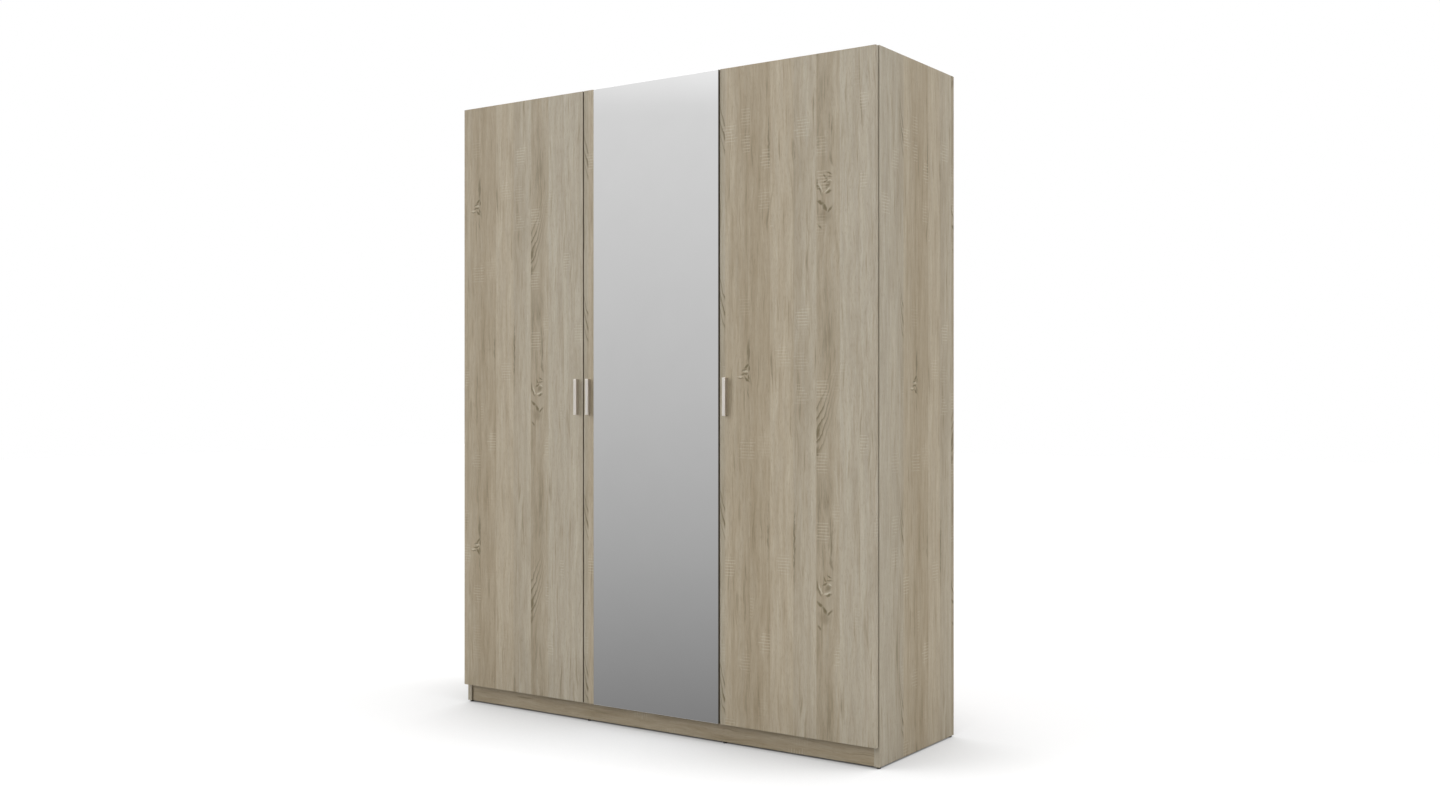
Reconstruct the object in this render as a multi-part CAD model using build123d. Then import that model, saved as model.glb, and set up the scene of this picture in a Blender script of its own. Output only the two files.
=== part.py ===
from build123d import *
import os

# Wardrobe with three hinged doors, in millimetres. +X is to the right of someone facing the doors,
# +Y to the back, +Z up. The origin is on the floor, under the middle of the whole object.

# Overall sizes
WIDTH = 1500.0
HEIGHT = 1910.0
BOARD = 16.0
CARCASS_DEPTH = 452.0
BACK_SHEET = 3.0
GLIDE_HEIGHT = 5.0
GLIDE_RADIUS = 6.0
PLINTH_HEIGHT = 60.0
PLINTH_RECESS = 5.0
BOARD_EASE = 0.6

# Doors and mirror
DOOR_GAP = 2.0
DOOR_SEAM = 4.0
DOOR_SIDE_REVEAL = 1.0
DOOR_TOP_REVEAL = 2.0
DOOR_BOTTOM = 59.0
DOOR_EASE = 1.0
MIRROR_THICKNESS = 3.0
MIRROR_STRIP = 40.0
MIRROR_HINGE_INSET = 0.5
MIRROR_END_INSET = 1.0
MIRROR_ARRIS = 1.0

# Handles
HANDLE_LENGTH = 108.0
HANDLE_HOLES = 96.0
HANDLE_WIDTH = 11.0
HANDLE_PROJECTION = 14.0
HANDLE_LIP = 5.0
HANDLE_FOOT_WIDTH = 8.0
HANDLE_FROM_EDGE = 21.0
HANDLE_EASE = 1.2

# Inside fittings
HAT_SHELF_UNDERSIDE = 1560.0
HAT_SHELF_INSET = 10.0
SHELF_COUNT = 4
SHELF_END_GAP = 2.0
SHELF_FRONT_INSET = 20.0
SHELF_BACK_GAP = 4.0
SHELF_PIN_FROM_EDGE = 60.0
SHELF_PIN_RADIUS = 2.5
SHELF_PIN_HALF = 8.0
SHELF_PIN_COLLAR_RADIUS = 4.0
SHELF_PIN_COLLAR = 1.5
RAIL_DROP = 50.0
RAIL_TALL = 30.0
RAIL_WIDE = 15.0
RAIL_WALL = 1.0
SOCKET_PLATE = 3.0
SOCKET_PLATE_TALL = 64.0
SOCKET_PLATE_WIDE = 24.0
SOCKET_WALL = 2.3
SOCKET_CLEARANCE = 0.2
SOCKET_DEPTH = 12.0
SOCKET_SCREW_HALF_SPACING = 24.0
BRACKET_LEG = 30.0
BRACKET_WIDTH = 25.0
BRACKET_SHEET = 2.0
WALL_HOLE_RADIUS = 2.75
WALL_HOLE_DROP = 18.0
WALL_HOLE_SPACING = 1000.0
BUMPER_RADIUS = 4.0
BUMPER_THICKNESS = 1.7
BUMPER_FROM_PARTITION = 25.0
BUMPER_EASE = 0.6

# Screws: shank radius, head radius, head height and how far a through hole is wider
FINE_SCREW = (1.75, 3.3, 1.5)
HINGE_SCREW = (2.0, 3.6, 1.6)
HANDLE_SCREW = (2.0, 4.0, 2.0)
THROUGH_HOLE_ROOM = 0.2
RECESS_WIDTH = 0.8
PLATE_SCREW_LENGTH = 14.0
CUP_SCREW_LENGTH = 12.0
BRACKET_SCREW_LENGTH = 14.0
HANDLE_SCREW_REACH = 8.0

# Floor glides, back sheets and nails
GLIDE_FROM_EDGE = 11.0
GLIDE_EASE = 1.0
GLIDE_NAIL_RADIUS = 1.2
GLIDE_NAIL_LENGTH = 14.0
SHEET_EDGE = 1.5
SHEET_JOINT = 0.25
SHEET_OVERLAP = 3.0
NAILS_PER_EDGE = 10
NAIL_INSET = 4.0
NAIL_END_INSET = 30.0
NAIL_LENGTH = 18.0
NAIL_RADIUS = 0.8
NAIL_HEAD_RADIUS = 1.8
NAIL_HEAD = 0.8

# Board joints
CAM_FROM_EDGE = 70.0
DOWEL_FROM_EDGE = 110.0
CAM_RADIUS = 7.4
CAM_DEPTH = 12.4
CAM_ROOM = 0.1
CAM_FROM_END = 34.0
CAM_RECESS_LENGTH = 9.0
CAM_RECESS_WIDTH = 1.6
CAM_RECESS_DEPTH = 2.0
BOLT_THREAD_RADIUS = 3.0
BOLT_SHANK_RADIUS = 3.5
BOLT_HOLE_RADIUS = 4.0
PANEL_HOLE_DEPTH = 7.0
DOWEL_RADIUS = 4.0
DOWEL_LENGTH = 30.0
DOWEL_CHAMFER = 0.4
TOP_SCREW_LENGTH = 50.0
TOP_SCREW_RADIUS = 3.5
TOP_SCREW_HEAD_RADIUS = 5.0
TOP_SCREW_HEAD = 3.0
TOP_SCREW_SOCKET = 4.2

# Hinges, measured from the door's hinge edge and back face
HINGES_PER_DOOR = 4
HINGE_FROM_DOOR_END = 100.0
PIN_FROM_EDGE = 6.8
PIN_DEPTH = 10.2
PIN_RADIUS = 1.2
PIN_HALF_LENGTH = 8.5
PIN_RUNNING_CLEARANCE = 0.05
KNUCKLE_RADIUS = 2.4
ARM_SHEET = 2.4
ARM_HOOK_WIDTH = 8.4
ARM_BASE_WIDTH = 14.0
ARM_RISE_FROM_EDGE = 20.0
ARM_BASE_START = 24.0
ARM_END = 66.0
ARM_BEND_RADIUS = 2.0
ARM_SIDE_ROOM = 0.4
ARM_SCREW_AT = 54.0
CUP_RADIUS = 17.4
CUP_BORE_RADIUS = 17.5
CUP_BORE_DEPTH = 13.5
CUP_DEPTH = 13.4
CUP_FROM_EDGE = 20.5
CUP_POCKET_DEPTH = 12.8
CUP_POCKET_START = 4.1
CUP_POCKET_END = 35.0
CUP_FLANGE = 1.2
CUP_FLANGE_RADIUS = 18.2
CUP_MOUTH_ROOM = 0.6
CUP_EAR_FROM_EDGE = 30.0
CUP_EAR_SPAN = 56.0
CUP_EAR_WIDTH = 14.0
CUP_SCREW_HALF_SPACING = 22.5
PLATE_THICKNESS = 3.8
PLATE_SCREW_FROM_FRONT = 37.0
PLATE_SCREW_HALF_SPACING = 16.0
PLATE_BAR_WIDTH = 16.0
PLATE_BAR_START = 27.0
PLATE_BAR_END = 62.0
PLATE_EAR_HALF = 6.0
PLATE_CORNER = 1.5

# How far a cutting block or rod runs past the surface it cuts
PAST = 1.0

# Levels and planes that follow from the sizes
X_SIDE = WIDTH / 2
X_SIDE_INNER = X_SIDE - BOARD
X_SEAM = WIDTH / 6
X_PARTITION_NEAR = X_SEAM - BOARD / 2
X_PARTITION_FAR = X_SEAM + BOARD / 2
TOTAL_DEPTH = HANDLE_PROJECTION + BOARD + DOOR_GAP + CARCASS_DEPTH + BACK_SHEET
Y_DOOR_FRONT = -TOTAL_DEPTH / 2 + HANDLE_PROJECTION
Y_DOOR_BACK = Y_DOOR_FRONT + BOARD
Y_FRONT = Y_DOOR_BACK + DOOR_GAP
Y_BACK = Y_FRONT + CARCASS_DEPTH
Y_REAR = Y_BACK + BACK_SHEET
Y_MIDDLE = (Y_FRONT + Y_BACK) / 2
Z_PANEL = GLIDE_HEIGHT
Z_BOTTOM = Z_PANEL + PLINTH_HEIGHT
Z_FLOOR_BOARD = Z_BOTTOM + BOARD
Z_CEILING = HEIGHT - BOARD
DOOR_TOP = HEIGHT - DOOR_TOP_REVEAL
DOOR_MIDDLE = (DOOR_BOTTOM + DOOR_TOP) / 2
ROWS_CAM = (Y_FRONT + CAM_FROM_EDGE, Y_BACK - CAM_FROM_EDGE)
ROWS_DOWEL = (Y_FRONT + DOWEL_FROM_EDGE, Y_BACK - DOWEL_FROM_EDGE)

ALONG_X = Rot(0, 90, 0)
ALONG_Y = Rot(-90, 0, 0)

parts = {}
drillings = []


def between(x, y, z):
    """A plain block between two limits on each axis."""
    middle = Pos((x[0] + x[1]) / 2, (y[0] + y[1]) / 2, (z[0] + z[1]) / 2)
    return middle * Box(x[1] - x[0], y[1] - y[0], z[1] - z[0])


def board(x, y, z, ease=BOARD_EASE):
    """An edged board with every edge slightly rounded."""
    block = between(x, y, z)
    return fillet(block.edges(), ease)


def rod(radius, start, end):
    """A round bar along Z between two heights."""
    return Pos(0, 0, (start + end) / 2) * Cylinder(radius, end - start)


def screw(sizes, length):
    """A screw that points down -Z, its head sitting on the plane Z = 0, with a cross recess."""
    shank_radius, head_radius, head_height = sizes
    body = rod(head_radius, 0, head_height) + rod(shank_radius, -length, 0)
    slot = Box(head_radius * 1.2, RECESS_WIDTH, head_height)
    recess = Pos(0, 0, head_height) * (slot + Rot(0, 0, 90) * slot)
    return body - recess


def through_hole(sizes, length):
    """The clearance hole for a screw's shank, to both sides of the plane Z = 0."""
    return Cylinder(sizes[0] + THROUGH_HOLE_ROOM, 2 * length)


def touches(one, other):
    """True where the boxes of two solids meet on all three axes."""
    a = one.bounding_box()
    b = other.bounding_box()
    apart_x = a.max.X < b.min.X or b.max.X < a.min.X
    apart_y = a.max.Y < b.min.Y or b.max.Y < a.min.Y
    apart_z = a.max.Z < b.min.Z or b.max.Z < a.min.Z
    return not (apart_x or apart_y or apart_z)


def drill(node):
    """Cut every hole that reaches a board out of it."""
    holes = [hole for hole in drillings if touches(parts[node], hole)]
    if holes:
        parts[node] = parts[node] - holes


def copies(shape, places):
    """The same piece at each of the places."""
    return [place * shape for place in places]


# Carcass boards: two sides, two partitions notched over the plinth, top, bottoms and plinth
DEPTH = (Y_FRONT, Y_BACK)
parts["left_side_panel"] = board((-X_SIDE, -X_SIDE_INNER), DEPTH, (Z_PANEL, HEIGHT))
parts["right_side_panel"] = board((X_SIDE_INNER, X_SIDE), DEPTH, (Z_PANEL, HEIGHT))
parts["top_panel"] = board((-X_SIDE_INNER, X_SIDE_INNER), DEPTH, (Z_CEILING, HEIGHT))

Y_PLINTH = (Y_FRONT + PLINTH_RECESS, Y_FRONT + PLINTH_RECESS + BOARD)
parts["plinth"] = board((-X_SIDE_INNER, X_SIDE_INNER), Y_PLINTH, (Z_PANEL, Z_BOTTOM))
for name, x_middle in (("left_partition", -X_SEAM), ("right_partition", X_SEAM)):
    x_faces = (x_middle - BOARD / 2, x_middle + BOARD / 2)
    upright = board(x_faces, DEPTH, (Z_PANEL, Z_CEILING))
    notch_x = (x_faces[0] - PAST, x_faces[1] + PAST)
    notch = between(notch_x, (Y_FRONT - PAST, Y_PLINTH[1]), (0, Z_BOTTOM))
    parts[name] = upright - notch

BAYS = {
    "left": (-X_SIDE_INNER, -X_PARTITION_FAR),
    "middle": (-X_PARTITION_NEAR, X_PARTITION_NEAR),
    "right": (X_PARTITION_FAR, X_SIDE_INNER),
}
for bay, x_limits in BAYS.items():
    parts[bay + "_bottom_board"] = board(x_limits, DEPTH, (Z_BOTTOM, Z_FLOOR_BOARD))

# Hat shelves in the two hanging bays
HAT_DEPTH = (Y_FRONT + HAT_SHELF_INSET, Y_BACK)
for bay in ("left", "middle"):
    hat_height = (HAT_SHELF_UNDERSIDE, HAT_SHELF_UNDERSIDE + BOARD)
    parts[bay + "_hat_shelf"] = board(BAYS[bay], HAT_DEPTH, hat_height)

# Loose shelves in the right bay, evenly spaced, each lying on four pins
shelf_space = (Z_CEILING - Z_FLOOR_BOARD - SHELF_COUNT * BOARD) / (SHELF_COUNT + 1)
shelf_x = (BAYS["right"][0] + SHELF_END_GAP, BAYS["right"][1] - SHELF_END_GAP)
shelf_y = (Y_FRONT + SHELF_FRONT_INSET, Y_BACK - SHELF_BACK_GAP)
pin_collar = rod(SHELF_PIN_COLLAR_RADIUS, 0, SHELF_PIN_COLLAR)
shelf_pin = rod(SHELF_PIN_RADIUS, -SHELF_PIN_HALF, SHELF_PIN_HALF) + pin_collar
shelf_pins = []
for count in range(SHELF_COUNT):
    underside = Z_FLOOR_BOARD + shelf_space + count * (shelf_space + BOARD)
    node = f"right_shelf_{count + 1}"
    parts[node] = board(shelf_x, shelf_y, (underside, underside + BOARD))
    for y in (Y_FRONT + SHELF_PIN_FROM_EDGE, Y_BACK - SHELF_PIN_FROM_EDGE):
        height = underside - SHELF_PIN_RADIUS
        shelf_pins.append(Pos(BAYS["right"][0], y, height) * ALONG_X * shelf_pin)
        shelf_pins.append(Pos(BAYS["right"][1], y, height) * Rot(0, -90, 0) * shelf_pin)
parts["shelf_pins"] = Compound(shelf_pins)
drillings += shelf_pins

# Cam fittings and dowels at both ends of the top, the bottoms and the hat shelves
cam_body = rod(CAM_RADIUS, 0, CAM_DEPTH)
recess_slot = Box(CAM_RECESS_LENGTH, CAM_RECESS_WIDTH, 2 * CAM_RECESS_DEPTH)
cam_recess = recess_slot + Rot(0, 0, 90) * recess_slot
seat_rod = Cylinder(BOLT_SHANK_RADIUS + CAM_ROOM, CAM_RADIUS * 1.4)
bolt_seat = Pos(-CAM_RADIUS / 2, 0, BOARD / 2) * ALONG_X * seat_rod
cam_lock = cam_body - bolt_seat - cam_recess
bolt_thread = rod(BOLT_THREAD_RADIUS, -PANEL_HOLE_DEPTH, 0)
cam_bolt = bolt_thread + rod(BOLT_SHANK_RADIUS, 0, CAM_FROM_END - 1)
bolt_hole = bolt_thread + rod(BOLT_HOLE_RADIUS, 0, CAM_FROM_END)
cam_hole = rod(CAM_RADIUS + CAM_ROOM, -PAST, CAM_DEPTH + CAM_ROOM)
dowel_hole = rod(DOWEL_RADIUS, -PANEL_HOLE_DEPTH, DOWEL_LENGTH - PANEL_HOLE_DEPTH)
dowel = chamfer(dowel_hole.edges(), DOWEL_CHAMFER)
cam_locks = []
cam_bolts = []
wood_dowels = []


def end_fittings(node, cams_on_top=False):
    """Two cam fittings and two dowels at each end of a level board."""
    box = parts[node].bounding_box()
    face = box.max.Z if cams_on_top else box.min.Z
    level = (box.min.Z + box.max.Z) / 2
    for x_end, turn in ((box.min.X, 0), (box.max.X, 180)):
        for y in ROWS_CAM:
            along = Pos(x_end, y, level) * Rot(0, 0, turn) * ALONG_X
            cam_place = Pos(x_end, y, face) * Rot(0, 0, turn) * Pos(CAM_FROM_END, 0, 0)
            if cams_on_top:
                cam_place = cam_place * Rot(180, 0, 0)
            cam_bolts.append(along * cam_bolt)
            cam_locks.append(cam_place * cam_lock)
            drillings.append(along * bolt_hole)
            drillings.append(cam_place * cam_hole)
        for y in ROWS_DOWEL:
            along = Pos(x_end, y, level) * Rot(0, 0, turn) * ALONG_X
            wood_dowels.append(along * dowel)
            drillings.append(along * dowel_hole)


end_fittings("top_panel", cams_on_top=True)
for bay in BAYS:
    end_fittings(bay + "_bottom_board")
for bay in ("left", "middle"):
    end_fittings(bay + "_hat_shelf")
for x_end, turn in ((-X_SIDE_INNER, 0), (X_SIDE_INNER, 180)):
    for height in (Z_PANEL + PLINTH_HEIGHT / 3, Z_PANEL + PLINTH_HEIGHT * 2 / 3):
        along = Pos(x_end, Y_PLINTH[0] + BOARD / 2, height) * Rot(0, 0, turn) * ALONG_X
        wood_dowels.append(along * dowel)
        drillings.append(along * dowel_hole)
parts["cam_locks"] = Compound(cam_locks)
parts["cam_bolts"] = Compound(cam_bolts)
parts["wood_dowels"] = Compound(wood_dowels)

# Screws through the top panel into the top edges of the partitions, heads flush
top_screw_shank = rod(TOP_SCREW_RADIUS, -TOP_SCREW_LENGTH, 0)
top_screw = top_screw_shank + rod(TOP_SCREW_HEAD_RADIUS, -TOP_SCREW_HEAD, 0)
top_screw -= Box(TOP_SCREW_SOCKET, TOP_SCREW_SOCKET, 2 * TOP_SCREW_HEAD)
top_screw_places = [Pos(x, y, HEIGHT) for x in (-X_SEAM, X_SEAM) for y in ROWS_CAM]
parts["top_screws"] = Compound(copies(top_screw, top_screw_places))
top_screw_hole = top_screw_shank + rod(TOP_SCREW_HEAD_RADIUS, -TOP_SCREW_HEAD, PAST)
drillings += copies(top_screw_hole, top_screw_places)

# Floor glides nailed under both ends of every upright, or under the plinth where it crosses a partition
glide_disc = fillet(rod(GLIDE_RADIUS, 0, GLIDE_HEIGHT).edges().group_by(Axis.Z)[0], GLIDE_EASE)
glide_nail = rod(GLIDE_NAIL_RADIUS, GLIDE_HEIGHT - PAST, GLIDE_HEIGHT + GLIDE_NAIL_LENGTH)
X_UPRIGHTS = (-X_SIDE + BOARD / 2, -X_SEAM, X_SEAM, X_SIDE - BOARD / 2)
Y_GLIDES = (Y_FRONT + GLIDE_FROM_EDGE, Y_BACK - GLIDE_FROM_EDGE)
glide_places = [Pos(x, y, 0) for x in X_UPRIGHTS for y in Y_GLIDES]
parts["floor_glides"] = Compound(copies(glide_disc + glide_nail, glide_places))
drillings += copies(glide_nail, glide_places)

# Three back sheets that meet on the partitions, with a hole behind each wall bracket
SHEETS = {
    "left": (-X_SIDE + SHEET_EDGE, -X_SEAM - SHEET_JOINT),
    "middle": (-X_SEAM + SHEET_JOINT, X_SEAM - SHEET_JOINT),
    "right": (X_SEAM + SHEET_JOINT, X_SIDE - SHEET_EDGE),
}
Z_SHEET = (Z_BOTTOM + SHEET_OVERLAP, HEIGHT - SHEET_EDGE)
for bay, x_limits in SHEETS.items():
    parts[bay + "_back_panel"] = between(x_limits, (Y_BACK, Y_REAR), Z_SHEET)

# Nails through the back sheets into the uprights, the top and the bottoms, heads flush
nail = rod(NAIL_RADIUS, 0, NAIL_LENGTH) + rod(NAIL_HEAD_RADIUS, NAIL_LENGTH - NAIL_HEAD, NAIL_LENGTH)
nail_run = Z_SHEET[1] - Z_SHEET[0] - 2 * NAIL_END_INSET
nail_heights = [
    Z_SHEET[0] + NAIL_END_INSET + count * nail_run / (NAILS_PER_EDGE - 1)
    for count in range(NAILS_PER_EDGE)
]
nails = []
for x_limits in SHEETS.values():
    nail_points = []
    for x in (x_limits[0] + NAIL_INSET, x_limits[1] - NAIL_INSET):
        nail_points += [(x, height) for height in nail_heights]
    for share in (0.3, 0.7):
        x = x_limits[0] + share * (x_limits[1] - x_limits[0])
        nail_points += [(x, Z_BOTTOM + BOARD / 2), (x, HEIGHT - BOARD / 2)]
    nails += [Pos(x, Y_REAR - NAIL_LENGTH, z) * ALONG_Y * nail for x, z in nail_points]
parts["back_nails"] = Compound(nails)

# Hanging rails of oval tube in screwed end sockets
RAIL_LEVEL = HAT_SHELF_UNDERSIDE - RAIL_DROP
# Stands a profile's long way upright and runs it along X
UPRIGHT_ALONG_X = Plane.YZ.location


def oval(grow):
    """The rail's upright oval section, grown all round."""
    return Rot(0, 0, 90) * SlotOverall(RAIL_TALL + 2 * grow, RAIL_WIDE + 2 * grow)


rail_section = oval(0) - oval(-RAIL_WALL)
socket_section = oval(SOCKET_CLEARANCE + SOCKET_WALL) - oval(SOCKET_CLEARANCE)
socket_plate = Rot(0, 0, 90) * SlotOverall(SOCKET_PLATE_TALL, SOCKET_PLATE_WIDE)
rail_socket = extrude(socket_plate, SOCKET_PLATE)
rail_socket += extrude(Pos(0, 0, SOCKET_PLATE) * socket_section, SOCKET_DEPTH - SOCKET_PLATE)
socket_screw = screw(FINE_SCREW, SOCKET_PLATE + PANEL_HOLE_DEPTH)
socket_halves = (-SOCKET_SCREW_HALF_SPACING, SOCKET_SCREW_HALF_SPACING)
screw_spots = [Pos(0, half, SOCKET_PLATE) for half in socket_halves]
rail_socket -= copies(through_hole(FINE_SCREW, SOCKET_PLATE + PAST), screw_spots)
rail_sockets = []
rail_socket_screws = []
for bay in ("left", "middle"):
    x_start, x_end = BAYS[bay]
    tube_start = x_start + SOCKET_PLATE
    tube_length = x_end - x_start - 2 * SOCKET_PLATE
    tube = extrude(rail_section, tube_length)
    parts[bay + "_hanging_rail"] = Pos(tube_start, Y_MIDDLE, RAIL_LEVEL) * UPRIGHT_ALONG_X * tube
    for x, turn in ((x_start, 0), (x_end, 180)):
        place = Pos(x, Y_MIDDLE, RAIL_LEVEL) * Rot(0, 0, turn) * UPRIGHT_ALONG_X
        rail_sockets.append(place * rail_socket)
        rail_socket_screws += [place * spot * socket_screw for spot in screw_spots]
parts["rail_sockets"] = Compound(rail_sockets)
parts["rail_socket_screws"] = Compound(rail_socket_screws)
drillings += rail_socket_screws

# Two angle brackets under the top, for the screws that hold the wardrobe to a wall
bracket_x = (-BRACKET_WIDTH / 2, BRACKET_WIDTH / 2)
bracket_top = between(bracket_x, (-BRACKET_LEG, 0), (-BRACKET_SHEET, 0))
bracket_leg = between(bracket_x, (-BRACKET_SHEET, 0), (-BRACKET_LEG, 0))
wall_hole_reach = BACK_SHEET + BRACKET_SHEET + PAST
wall_hole = Pos(0, 0, -WALL_HOLE_DROP) * ALONG_Y * Cylinder(WALL_HOLE_RADIUS, 2 * wall_hole_reach)
under_bracket = Pos(0, -BRACKET_LEG / 2, -BRACKET_SHEET) * Rot(180, 0, 0)
bracket_screw = under_bracket * screw(FINE_SCREW, BRACKET_SCREW_LENGTH)
bracket_screw_hole = under_bracket * through_hole(FINE_SCREW, BRACKET_SHEET + PAST)
wall_bracket = bracket_top + bracket_leg - wall_hole - bracket_screw_hole
bracket_places = [Pos(x, Y_BACK, Z_CEILING) for x in (-WALL_HOLE_SPACING / 2, WALL_HOLE_SPACING / 2)]
parts["wall_brackets"] = Compound(copies(wall_bracket, bracket_places))
bracket_screws = copies(bracket_screw, bracket_places)
parts["wall_bracket_screws"] = Compound(bracket_screws)
drillings += bracket_screws + copies(wall_hole, bracket_places)

# Soft bumpers on the front edges of the top and the bottoms, where each door's free corner closes
bumper_disc = Cylinder(BUMPER_RADIUS, BUMPER_THICKNESS)
bumper = ALONG_Y * fillet(bumper_disc.edges().group_by(Axis.Z)[0], BUMPER_EASE)
X_BUMPERS = (
    -X_PARTITION_FAR - BUMPER_FROM_PARTITION,
    -X_PARTITION_NEAR + BUMPER_FROM_PARTITION,
    X_PARTITION_FAR + BUMPER_FROM_PARTITION,
)
Z_BUMPERS = (Z_BOTTOM + BOARD / 2, HEIGHT - BOARD / 2)
bumper_places = [Pos(x, Y_FRONT - BUMPER_THICKNESS / 2, z) for x in X_BUMPERS for z in Z_BUMPERS]
parts["door_bumpers"] = Compound(copies(bumper, bumper_places))


# Single-pivot concealed hinges. In their own frame X runs in from the door's hinge edge,
# Y runs back from the door's back face and Z is along the pin.
pin_place = Pos(PIN_FROM_EDGE, -PIN_DEPTH, 0)
hinge_pin = pin_place * Cylinder(PIN_RADIUS, 2 * PIN_HALF_LENGTH)


def hinge_cup():
    """The cup: a cast body in the door with a pocket for the arm, and a screwed flange."""
    axis = Pos(CUP_FROM_EDGE, 0, 0) * ALONG_Y
    pocket_half = ARM_HOOK_WIDTH / 2 + ARM_SIDE_ROOM
    ears = Pos(CUP_EAR_FROM_EDGE, 0, 0) * ALONG_Y * Rot(0, 0, 90) * SlotOverall(CUP_EAR_SPAN, CUP_EAR_WIDTH)
    body = axis * rod(CUP_RADIUS, -CUP_DEPTH, 0)
    body += axis * rod(CUP_FLANGE_RADIUS, 0, CUP_FLANGE)
    body += extrude(ears, CUP_FLANGE, dir=(0, 1, 0))
    above = CUP_FLANGE + PAST
    pocket_x = (CUP_POCKET_START, CUP_POCKET_END)
    body -= between(pocket_x, (-CUP_POCKET_DEPTH, above), (-pocket_half, pocket_half))
    mouth_half = pocket_half + CUP_MOUTH_ROOM
    body -= between((0, CUP_POCKET_START + PAST), (0, above), (-mouth_half, mouth_half))
    body -= hinge_pin
    for half in (-CUP_SCREW_HALF_SPACING, CUP_SCREW_HALF_SPACING):
        body -= Pos(CUP_EAR_FROM_EDGE, 0, half) * ALONG_Y * through_hole(HINGE_SCREW, above)
    return body


def hinge_arm(panel_face):
    """The arm: a strip hooked round the pin, led out of the cup and back to the mounting plate."""
    base = panel_face + PLATE_THICKNESS + ARM_SHEET / 2
    path = [(PIN_FROM_EDGE, -PIN_DEPTH), (ARM_RISE_FROM_EDGE, -PIN_DEPTH)]
    if base < ARM_RISE_FROM_EDGE:
        path += [(ARM_RISE_FROM_EDGE, ARM_BASE_START / 3), (base, ARM_BASE_START * 2 / 3)]
    path += [(base, ARM_END)]
    strip = trace(FilletPolyline(*path, radius=ARM_BEND_RADIUS), ARM_SHEET)
    hook = extrude(strip, ARM_HOOK_WIDTH / 2, both=True)
    hook += pin_place * Cylinder(KNUCKLE_RADIUS, ARM_HOOK_WIDTH)
    sheet_x = (base - ARM_SHEET / 2, base + ARM_SHEET / 2)
    hook += between(sheet_x, (ARM_BASE_START, ARM_END), (-ARM_BASE_WIDTH / 2, ARM_BASE_WIDTH / 2))
    hook -= pin_place * Cylinder(PIN_RADIUS + PIN_RUNNING_CLEARANCE, ARM_HOOK_WIDTH + PAST)
    hook -= Pos(base, ARM_SCREW_AT, 0) * ALONG_X * through_hole(HINGE_SCREW, ARM_SHEET)
    return hook


def hinge_plate(panel_face):
    """The mounting plate: a bar under the arm with two ears for its screws."""
    x = (panel_face, panel_face + PLATE_THICKNESS)
    screw_y = DOOR_GAP + PLATE_SCREW_FROM_FRONT
    ear_y = (screw_y - PLATE_EAR_HALF, screw_y + PLATE_EAR_HALF)
    ear_reach = PLATE_SCREW_HALF_SPACING + PLATE_EAR_HALF
    bar = between(x, (PLATE_BAR_START, PLATE_BAR_END), (-PLATE_BAR_WIDTH / 2, PLATE_BAR_WIDTH / 2))
    plate = bar + between(x, ear_y, (-ear_reach, ear_reach))
    plate = fillet(plate.edges().filter_by(Axis.X), PLATE_CORNER)
    for half in (-PLATE_SCREW_HALF_SPACING, PLATE_SCREW_HALF_SPACING):
        plate -= Pos(panel_face, screw_y, half) * ALONG_X * through_hole(HINGE_SCREW, PLATE_THICKNESS + PAST)
    return plate - arm_screw(panel_face)


def plate_screws(panel_face):
    """Two screws that hold the plate to the upright."""
    top = panel_face + PLATE_THICKNESS
    wood_screw = ALONG_X * screw(HINGE_SCREW, PLATE_SCREW_LENGTH)
    screw_y = DOOR_GAP + PLATE_SCREW_FROM_FRONT
    halves = (-PLATE_SCREW_HALF_SPACING, PLATE_SCREW_HALF_SPACING)
    return [Pos(top, screw_y, half) * wood_screw for half in halves]


def arm_screw(panel_face):
    """The screw that holds the arm to its plate."""
    top = panel_face + PLATE_THICKNESS + ARM_SHEET
    return Pos(top, ARM_SCREW_AT, 0) * ALONG_X * screw(HINGE_SCREW, ARM_SHEET + PLATE_THICKNESS / 2)


# Each door: the edge it hangs on, which way it reaches from there, its width,
# and how far inside that edge the upright's face stands
LEFT_EDGE = -X_SIDE + DOOR_SIDE_REVEAL
RIGHT_EDGE = X_SIDE - DOOR_SIDE_REVEAL
OUTER_DOOR_WIDTH = RIGHT_EDGE - X_SEAM - DOOR_SEAM / 2
MIDDLE_DOOR_WIDTH = 2 * X_SEAM - DOOR_SEAM
SIDE_FACE = BOARD - DOOR_SIDE_REVEAL
PARTITION_FACE = BOARD / 2 - DOOR_SEAM / 2
DOORS = {
    "left": (LEFT_EDGE, 1, OUTER_DOOR_WIDTH, SIDE_FACE),
    "middle": (X_SEAM - DOOR_SEAM / 2, -1, MIDDLE_DOOR_WIDTH, PARTITION_FACE),
    "right": (RIGHT_EDGE, -1, OUTER_DOOR_WIDTH, SIDE_FACE),
}
hinge_run = DOOR_TOP - DOOR_BOTTOM - 2 * HINGE_FROM_DOOR_END
HINGE_LEVELS = [
    DOOR_BOTTOM + HINGE_FROM_DOOR_END + count * hinge_run / (HINGES_PER_DOOR - 1)
    for count in range(HINGES_PER_DOOR)
]

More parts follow.
